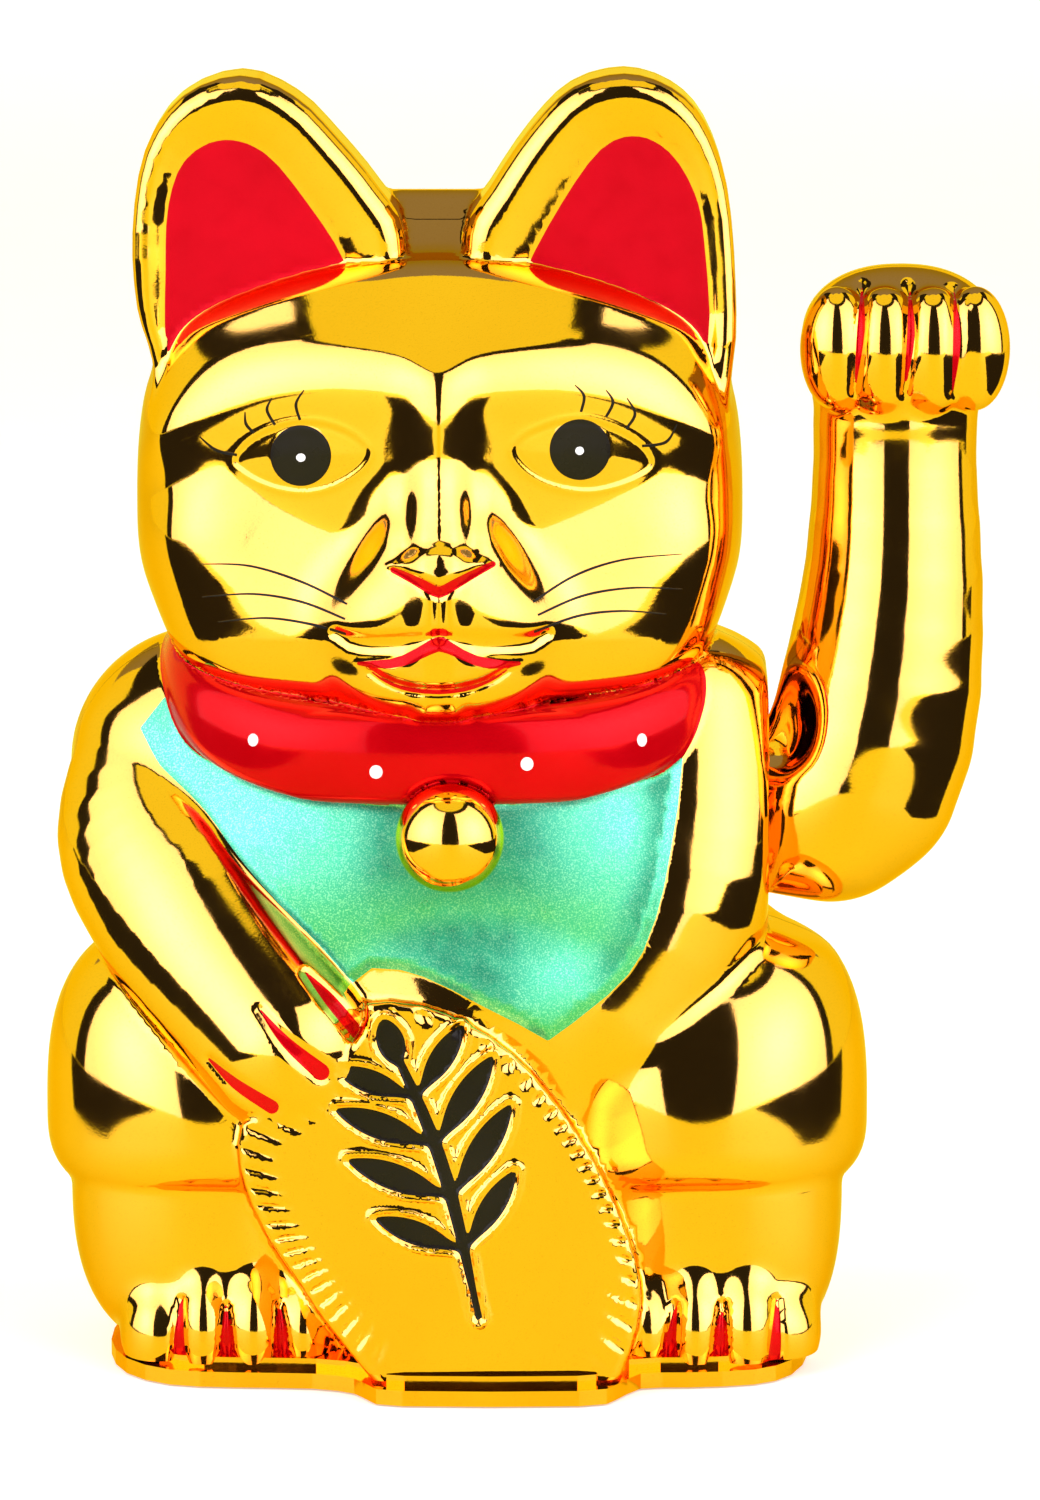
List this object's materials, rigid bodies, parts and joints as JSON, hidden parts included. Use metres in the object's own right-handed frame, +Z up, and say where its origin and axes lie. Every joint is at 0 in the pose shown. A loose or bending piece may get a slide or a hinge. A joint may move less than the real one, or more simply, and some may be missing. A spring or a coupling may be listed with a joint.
{
  "type": "beckoning cat figurine",
  "caption": "Seated gold cat figurine with a collar, bell and oval coin; a hidden pendulum swings its raised arm.",
  "frame": {"origin": "on the flat underside of the base plate, below the bell and in the joint plane of the two body shells", "axes": "+Z up, the cat's face towards -Y, the raised arm at +X"},
  "size_m": [0.1475, 0.0852, 0.2003],
  "materials": {
    "gold_shell": "vacuum-metallised mirror gold under clear lacquer, on injection-moulded ABS",
    "gold_base": "vacuum-metallised gold, on injection-moulded ABS",
    "white_plastic": "unpainted white ABS",
    "black_plastic": "black moulded plastic",
    "steel": "bright zinc-plated steel",
    "nickel": "nickel-plated spring strip and wire",
    "copper": "enamelled copper winding wire",
    "board": "brown phenolic circuit board",
    "magnet": "nickel-plated magnet",
    "cell": "printed steel jacket, plain",
    "red_wire": "red PVC sleeve",
    "black_wire": "black PVC sleeve"
  },
  "bodies": {
    "body": {"front_shell": "gold_shell", "rear_shell": "gold_shell", "base_plate": "gold_base", "battery_cell": "cell", "battery_spring": "nickel", "battery_plus_contact": "nickel", "battery_minus_contact": "nickel", "mechanism_frame": "white_plastic", "coil_bobbin": "white_plastic", "drive_coil": "copper", "circuit_board": "board", "drive_transistor": "black_plastic", "timing_capacitor": "cell", "start_resistor": "board", "power_switch_body": "steel", "battery_lead_red": "red_wire", "battery_lead_black": "black_wire", "switch_lead_black": "black_wire", "base_screw_1": "steel", "base_screw_2": "steel", "base_screw_3": "steel", "base_screw_4": "steel", "frame_screw_1": "steel", "frame_screw_2": "steel", "frame_screw_3": "steel"},
    "arm": {"arm_front_half": "gold_shell", "arm_rear_half": "gold_shell", "arm_socket": "white_plastic", "arm_spigot": "white_plastic", "pivot_pin": "steel", "pin_retainer": "steel", "pendulum_lever": "white_plastic", "pendulum_magnet": "magnet", "pendulum_weight_left": "steel", "pendulum_weight_right": "steel"},
    "door": {"battery_door": "gold_base"},
    "switch_knob": {"power_switch_knob": "black_plastic"}
  },
  "joints": [
    {"name": "arm_swing", "type": "hinge", "parent": "body", "child": "arm", "pos_m": [0.047, 0, 0.084], "axis": [1, 0, 0], "range_deg": [-18, 18]},
    {"name": "battery_door_hinge", "type": "hinge", "parent": "body", "child": "door", "pos_m": [0.0122, -0.012, 0.0004], "axis": [0, -1, 0], "range_deg": [0, 100]},
    {"name": "power_switch_slide", "type": "slide", "parent": "body", "child": "switch_knob", "axis": [1, 0, 0], "range_m": [0, 0.003]}
  ]
}
